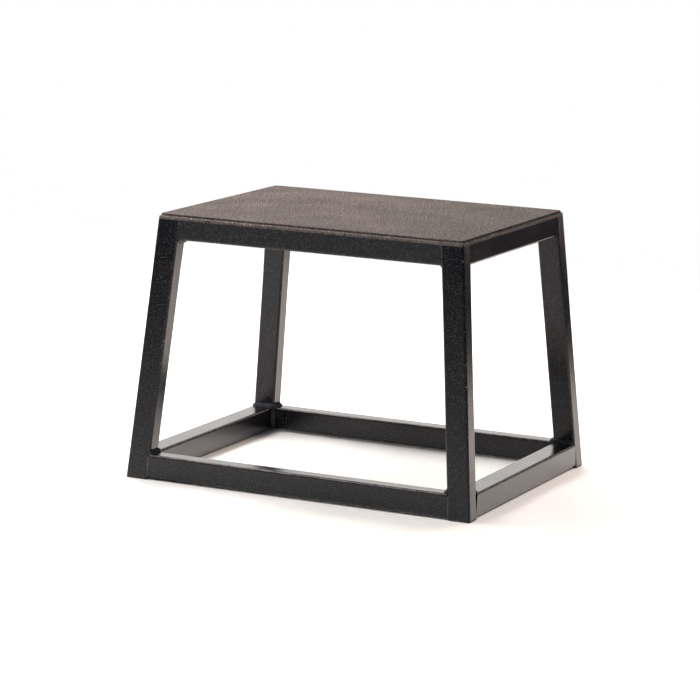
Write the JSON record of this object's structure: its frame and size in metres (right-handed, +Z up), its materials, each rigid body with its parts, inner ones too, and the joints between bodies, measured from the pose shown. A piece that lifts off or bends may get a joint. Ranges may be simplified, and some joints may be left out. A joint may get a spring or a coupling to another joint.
{
  "type": "plyo box",
  "caption": "Open plyometric jump box: splayed black steel tube legs with welded top and base rails, a flat plate deck with a gritty non-slip sheet, and plastic foot caps.",
  "frame": {"origin": "on the floor, under the middle of the deck", "axes": "+Z up, +X to the right across the wide front, +Y to the rear"},
  "size_m": [0.6356, 0.4898, 0.45],
  "materials": {
    "frame_paint": "satin black powder coat",
    "weld_paint": "satin black powder coat over weld beads",
    "foot_plastic": "matte black moulded",
    "grip": "brown-grey mineral grit"
  },
  "bodies": {
    "root": {"front_left_leg": "frame_paint", "front_right_leg": "frame_paint", "rear_left_leg": "frame_paint", "rear_right_leg": "frame_paint", "front_left_leg_cap": "frame_paint", "front_right_leg_cap": "frame_paint", "rear_left_leg_cap": "frame_paint", "rear_right_leg_cap": "frame_paint", "front_base_rail": "frame_paint", "rear_base_rail": "frame_paint", "left_base_rail": "frame_paint", "right_base_rail": "frame_paint", "front_top_rail": "frame_paint", "rear_top_rail": "frame_paint", "left_top_rail": "frame_paint", "right_top_rail": "frame_paint", "deck_brace": "frame_paint", "front_left_base_weld": "weld_paint", "front_left_top_weld": "weld_paint", "front_right_base_weld": "weld_paint", "front_right_top_weld": "weld_paint", "rear_left_base_weld": "weld_paint", "rear_left_top_weld": "weld_paint", "rear_right_base_weld": "weld_paint", "rear_right_top_weld": "weld_paint", "brace_welds": "weld_paint", "deck_stitch_welds": "weld_paint", "front_left_foot_cap": "foot_plastic", "front_right_foot_cap": "foot_plastic", "rear_left_foot_cap": "foot_plastic", "rear_right_foot_cap": "foot_plastic", "deck_plate": "frame_paint", "grip_sheet": "grip"}
  },
  "joints": []
}
